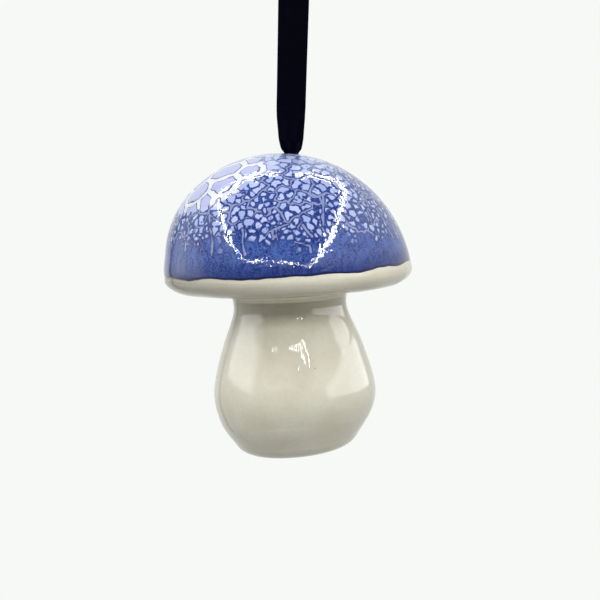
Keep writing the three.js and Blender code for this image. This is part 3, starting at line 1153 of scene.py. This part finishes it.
def ribbon_tail(name, side, material):
    """A cut end that hangs below the knot and curls away."""
    drop = np.linspace(0, 1, num=24)
    y = side * (TAIL_START + TAIL_CURL * drop**2)
    z = TAIL_TOP - RIBBON_DROP - TAIL_LENGTH * drop
    widths = np.interp(drop, *np.array(TAIL_WIDTHS).T)
    return ribbon_piece(name, [ribbon_strip(np.stack([y, z], axis=1), widths)], material)


# Stage, which is not part of the bauble

def aim(thing, azimuth, elevation, distance):
    """Places a lamp or panel around the bauble, facing its middle."""
    thing.location = CENTRE + Vector(direction_of(azimuth, elevation)) * distance
    heading = CENTRE - thing.location
    thing.rotation_euler = heading.to_track_quat("-Z", "Y").to_euler()


def shine_on(light, *pieces):
    """Lets a light fall on these pieces alone."""
    receivers = bpy.data.collections.new(light.name + "_on")
    for piece in pieces:
        receivers.objects.link(piece)
    light.light_linking.receiver_collection = receivers


def softbox(name, azimuth, elevation, distance, width, height, radiance):
    """An area lamp that is seen neither directly nor in the gloss."""
    light = bpy.data.lights.new(name, "AREA")
    light.shape = "RECTANGLE"
    light.size = width
    light.size_y = height
    light.energy = LAMP_POWER * width * height * radiance
    lamp = bpy.data.objects.new(name, light)
    bpy.context.scene.collection.objects.link(lamp)
    aim(lamp, azimuth, elevation, distance)
    lamp.visible_camera = False
    lamp.visible_glossy = False
    return lamp


def gloss_only(piece):
    piece.visible_camera = False
    piece.visible_diffuse = False
    piece.visible_shadow = False


def emission(tree, strength):
    return node(tree, "Emission", {"Strength": strength}).outputs[0]


def clear(tree):
    return node(tree, "BsdfTransparent").outputs[0]


def see_through_glow(tree, strength):
    """Light that adds to what lies behind it."""
    return node(tree, "AddShader", {0: emission(tree, strength), 1: clear(tree)}).outputs[0]


def output(tree, surface):
    node(tree, "OutputMaterial", {"Surface": surface})


def glow_material(name, radiance, see_through):
    material, tree = stage_material(name)
    material.cycles.emission_sampling = "NONE"
    output(tree, see_through_glow(tree, radiance) if see_through else emission(tree, radiance))
    return material


def shade_material(name, radiance):
    """A dark sheet that thins out to clear where its stored share falls."""
    material, tree = stage_material(name)
    share = stored_number(tree, "shade")
    output(tree, node(tree, "MixShader", {0: share, 1: clear(tree), 2: emission(tree, radiance)}).outputs[0])
    return material


def panel_material(name, radiance, soft):
    """Light that fades out towards the panel's edges and lets the room show through."""
    material, tree = stage_material(name)
    parts = node(tree, "SeparateXYZ", {0: node(tree, "TexCoord").outputs["Generated"]})
    strength = radiance
    for axis in (0, 1):
        for edge, full in ((0.0, soft), (1.0, 1.0 - soft)):
            strength = times(tree, ramp(tree, parts.outputs[axis], edge, full), strength)
    output(tree, see_through_glow(tree, strength))
    return material


def quad_sheet(corner_sets):
    points = [corner for corners in corner_sets for corner in corners]
    quads = [tuple(range(4 * index, 4 * index + 4)) for index in range(len(corner_sets))]
    return points, quads


def edge_lights(here, after):
    """Small lights along one edge of the opening, each of a lying and an upright quad."""
    x, y, width, count = here
    next_x, next_y, next_width, _ = after
    start = np.array([x, y, OPENING_HEIGHT], float)
    run = np.array([next_x - x, next_y - y, 0], float)
    half = run / count * LIGHT_SHARE / 2
    side = np.array([-run[1], run[0], 0]) / np.linalg.norm(run)
    upright = np.array([0, 0, LIGHT_HEIGHT / 2])
    lights = []
    for share in (np.arange(count) + 0.5) / count:
        middle = start + run * share
        left = middle - half
        right = middle + half
        lying = side * (width * (1 - share) + next_width * share) / 2
        for tilt in (lying, upright):
            lights.append([left - tilt, right - tilt, right + tilt, left + tilt])
    return lights


def light_frame(dome):
    """A dark opening above the bauble with rows of small lights along its edges."""
    lights = []
    for here, after in zip(OPENING_EDGE, OPENING_EDGE[1:] + OPENING_EDGE[:1]):
        lights += edge_lights(here, after)
    glow = glow_material("light_frame", LIGHT_RADIANCE, True)
    strips = new_piece("light_frame", *quad_sheet(lights), glow)
    gloss_only(strips)
    shine_on(strips, dome)
    corners = [(x, y, OPENING_HEIGHT + LIGHT_HEIGHT) for x, y, _, _ in OPENING_EDGE]
    dark = glow_material("dark_opening", OPENING_RADIANCE, False)
    gloss_only(new_piece("dark_opening", corners, [tuple(range(len(corners)))], dark))


def stem_glint(stem):
    stripes = []
    groups = [np.linspace(first, last, count) for count, first, last in GLINT_GROUPS]
    for x, low, high in np.concatenate(groups):
        left = x - GLINT_WIDTH / 2
        right = x + GLINT_WIDTH / 2
        corners = [(left, low), (right, low), (right, high), (left, high)]
        stripes.append([(across, GLINT_PLANE, up) for across, up in corners])
    glow = glow_material("glint_stripes", GLINT_RADIANCE, True)
    glint = new_piece("glint_stripes", *quad_sheet(stripes), glow)
    gloss_only(glint)
    shine_on(glint, stem)


def shade_sheet(name, rows, shares, radiance):
    """A dark sheet of rows of points, with its share of darkness at each point."""
    rows = np.array(rows)
    quads = quads_between(rows.shape[0], rows.shape[1], False, False).tolist()
    sheet = new_piece(name, rows.reshape(-1, 3), quads, shade_material(name, radiance))
    add_field(sheet, "shade", np.array(shares).ravel())
    gloss_only(sheet)
    return sheet


def dark_room():
    """The dark side of the room in front of the bauble, which the gloss shows."""
    _, end = ROOM_SPAN
    azimuths = np.linspace(-end, end, num=71)
    around = np.array([direction_of(azimuth, 0)[:2] for azimuth in azimuths])
    share = 1 - smooth(np.abs(azimuths), *ROOM_SPAN)
    front = 1 - smooth(np.abs(azimuths), low=35, high=60)
    level = np.ones(len(azimuths))
    levels = [
        # Flat over the floor: painted shade on the floor, shown only in reflections
        (FLOOR_SHADE_RADIUS, ROOM_FLOOR * level, share),
        (ROOM_RADIUS, ROOM_FLOOR * level, share),
        (ROOM_RADIUS, ROOM_EYE * level, share),
        (ROOM_RADIUS, ROOM_TOP + ROOM_SIDE_RISE * (1 - front), share * front),
    ]
    rows = [np.column_stack([around * radius, heights]) for radius, heights, _ in levels]
    shade_sheet("dark_room", rows, [shares for _, _, shares in levels], ROOM_RADIANCE)


def dark_gap():
    """The dark gap beside the backdrop, which the gloss shows."""
    across = np.linspace(-1, 1, num=13)
    share = np.tile((1 - across**2) ** 2, (2, 1))
    rows = [[(x * GAP_WIDTH / 2, end * GAP_HEIGHT / 2, 0) for x in across] for end in (-1, 1)]
    gap = shade_sheet("left_gap", rows, share, GAP_RADIANCE)
    aim(gap, GAP_AZIMUTH, 0, GAP_DISTANCE)


def gloss_panel(name, azimuth, elevation, distance, width, height, radiance, soft):
    """A soft-edged panel beside the bauble that shows in gloss alone."""
    x = width / MM / 2
    y = height / MM / 2
    corners = [(-x, -y, 0), (x, -y, 0), (x, y, 0), (-x, y, 0)]
    panel = new_piece(name, corners, [(0, 1, 2, 3)], panel_material(name, radiance, soft))
    aim(panel, azimuth, elevation, distance)
    gloss_only(panel)
    return panel


def seen_directly(tree):
    """1 for what the camera sees, also by way of gloss or glass."""
    rays = node(tree, "LightPath").outputs
    either = calculate(tree, "MAXIMUM", rays["Is Camera Ray"], rays["Is Glossy Ray"])
    return calculate(tree, "MAXIMUM", either, rays["Is Transmission Ray"])


def floor():
    """A pale floor that is as bright as the backdrop apart from the shadow on it."""
    material, tree, shader = new_material("pale_floor")
    set_inputs(tree, shader, {
        "Base Color": paint("floor"),
        "Roughness": 0.9,
        "Emission Color": paint("backdrop"),
        "Emission Strength": times(tree, seen_directly(tree), 0.7),
    })
    bpy.ops.mesh.primitive_circle_add(vertices=96, radius=0.45, fill_type="NGON", location=(0, 0, -0.42))
    disc = bpy.context.object
    disc.name = "floor"
    disc.data.materials.append(material)


def white_world():
    """White to the camera and the gloss, and a low level of light on the rest."""
    world = bpy.data.worlds.new("white_room")
    bpy.context.scene.world = world
    world.use_nodes = True
    tree = world.node_tree
    tree.nodes.clear()
    white = node(tree, "Background", {"Color": paint("backdrop"), "Strength": 1.0}).outputs[0]
    ambient = node(tree, "Background", {"Color": paint("ambient"), "Strength": 0.15}).outputs[0]
    mixed = node(tree, "MixShader", {0: seen_directly(tree), 1: ambient, 2: white})
    node(tree, "OutputWorld", {"Surface": mixed.outputs[0]})


def camera():
    data = bpy.data.cameras.new("camera")
    data.sensor_width = SENSOR
    data.lens = FOCAL_PIXELS / PICTURE_PIXELS * SENSOR
    data.clip_start = 0.01
    view = bpy.data.objects.new("camera", data)
    bpy.context.scene.collection.objects.link(view)
    pitch = Matrix.Rotation(math.radians(90 - CAMERA_PITCH), 4, "X")
    roll = Matrix.Rotation(math.radians(CAMERA_ROLL), 4, "Z")
    view.matrix_world = Matrix.Translation(Vector(CAMERA_PLACE) * MM) @ pitch @ roll
    bpy.context.scene.camera = view


# Assembly

def dress_ceramic():
    clay = clay_material()
    coat = glaze_coat(glaze_material())
    cap = clay_cap(clay)
    stem = clay_stem(clay)
    bead = slip_bead(clay)
    pieces = [
        (coat, "cap_glaze", "blue_glaze"),
        (cap, "cap", "white_clay"),
        (stem, "stem", "white_clay"),
        (bead, "slip_joint", "white_clay"),
    ]
    for piece, stands_for, slot in pieces:
        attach(piece, "mushroom")
        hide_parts(stands_for)
    return coat, cap, stem, bead


def dress_ribbon():
    satin = satin_material()
    strands, path = ribbon_loop(satin)
    pinch = ribbon_sheets("ribbon_pinch", SPLIT_HEIGHT + SHEET_LAP, SHEET_END, satin)
    shank = ribbon_sheets("ribbon_bunch", SHEET_END + SHEET_LAP, SHANK_END, satin)
    knot = ribbon_knot(satin)
    tails = [ribbon_tail("ribbon_end_front", -1, satin), ribbon_tail("ribbon_end_back", 1, satin)]
    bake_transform(strands)
    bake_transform(pinch)
    for piece in (shank, knot, *tails):
        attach(piece, "knot")
    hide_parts("ribbon_loop")
    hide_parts("ribbon_gather")
    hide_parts("ribbon_shank")
    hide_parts("ribbon_knot")
    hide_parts("ribbon_tail_front")
    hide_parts("ribbon_tail_back")


def light_stage(dome, cap, stem, bead):
    """Lamps and panels, some of them for a few of the pieces alone."""
    for name, panel in GLOSS_PANELS.items():
        shine_on(gloss_panel(name, *panel), dome if name == "left_haze" else stem)
    receivers = {
        "left_panel": (dome, stem),
        "back_panel": (dome, cap, stem, bead),
        "low_panel": (bead,),
    }
    for name, lamp in LAMPS.items():
        light = softbox(name, *lamp)
        if name in receivers:
            shine_on(light, *receivers[name])


camera()
dress_ribbon()
dome, cap, stem, bead = dress_ceramic()
white_world()
floor()
light_frame(dome)
stem_glint(stem)
dark_room()
dark_gap()
light_stage(dome, cap, stem, bead)
bpy.context.scene.view_settings.view_transform = "Standard"
